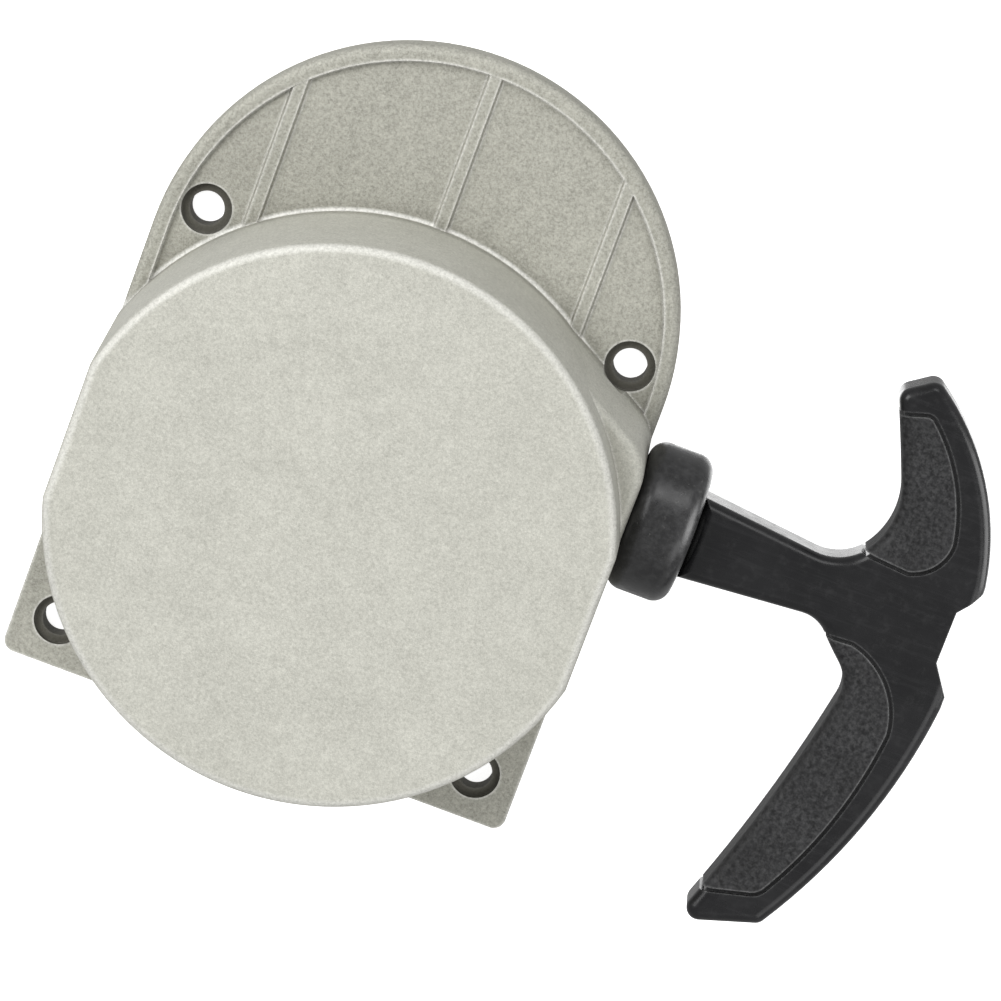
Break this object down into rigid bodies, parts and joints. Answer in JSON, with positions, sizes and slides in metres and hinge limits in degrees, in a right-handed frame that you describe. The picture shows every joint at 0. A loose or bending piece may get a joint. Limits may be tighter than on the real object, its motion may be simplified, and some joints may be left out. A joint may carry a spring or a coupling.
{
  "type": "recoil starter",
  "caption": "Pull-cord recoil starter: cast housing with a round drum and domed mounting plate, rope reel with pawls, rubber collar and T-handle.",
  "frame": {"origin": "on the reel's axis, in the mounting face, at the centre of the four mounting holes", "axes": "+Z out of the drum's face, away from the engine; +X towards the handle; +Y towards the plate's domed end"},
  "size_m": [0.1571, 0.131, 0.0346],
  "materials": {
    "cast_aluminium": "matt blasted casting",
    "black_rubber": "satin moulded rubber",
    "black_plastic": "satin moulded plastic",
    "grip_rubber": "finely textured soft rubber",
    "reel_plastic": "glass-filled nylon",
    "spring_steel": "blued strip steel",
    "zinc_steel": "zinc-plated steel",
    "bush_bronze": "sintered bronze",
    "pawl_steel": "case-hardened pressed steel",
    "guide_plastic": "moulded acetal",
    "rope_nylon": "braided nylon starter rope"
  },
  "bodies": {
    "housing": {"housing": "cast_aluminium", "rope_bush": "zinc_steel", "collar": "black_rubber", "spring_cover": "zinc_steel", "recoil_spring": "spring_steel", "rope_span": "rope_nylon", "centre_washer": "zinc_steel", "centre_screw": "zinc_steel"},
    "reel": {"reel": "reel_plastic", "reel_bush": "bush_bronze", "thrust_washer": "zinc_steel", "rope_coil": "rope_nylon", "reel_knot": "rope_nylon"},
    "guide": {"guide_plate": "guide_plastic", "brake_spring": "spring_steel"},
    "pawl_1": {"pawl_1": "pawl_steel"},
    "pawl_2": {"pawl_2": "pawl_steel"},
    "handle": {"handle_body": "black_plastic", "upper_grip_pad": "grip_rubber", "lower_grip_pad": "grip_rubber", "knot_washer": "zinc_steel", "handle_rope": "rope_nylon", "handle_knot": "rope_nylon"}
  },
  "joints": [
    {"name": "handle_pull", "type": "slide", "parent": "housing", "child": "handle", "axis": [1, 0, 0], "range_m": [0, 0.7], "stiffness_N_per_m": 14, "springref_m": -0.6},
    {"name": "reel_spin", "type": "hinge", "parent": "housing", "child": "reel", "pos_m": [0, 0, 0.01], "axis": [0, 0, -1], "range_deg": [0, 1404], "deforming": ["recoil_spring", "rope_coil", "rope_span"]},
    {"name": "guide_turn", "type": "hinge", "parent": "reel", "child": "guide", "pos_m": [0, 0, 0.0041], "axis": [0, 0, 1], "range_deg": [0, 30]},
    {"name": "pawl_1_swing", "type": "hinge", "parent": "reel", "child": "pawl_1", "pos_m": [0, 0.019, 0.007], "axis": [0, 0, 1], "range_deg": [0, 25]},
    {"name": "pawl_2_swing", "type": "hinge", "parent": "reel", "child": "pawl_2", "pos_m": [0, -0.019, 0.007], "axis": [0, 0, 1], "range_deg": [0, 25]}
  ],
  "couplings": [
    {"joint": "reel_spin", "follows": "handle_pull", "rad_per_m": 35},
    {"joint": "pawl_1_swing", "follows": "guide_turn", "ratio": 0.83333},
    {"joint": "pawl_2_swing", "follows": "guide_turn", "ratio": 0.83333}
  ]
}
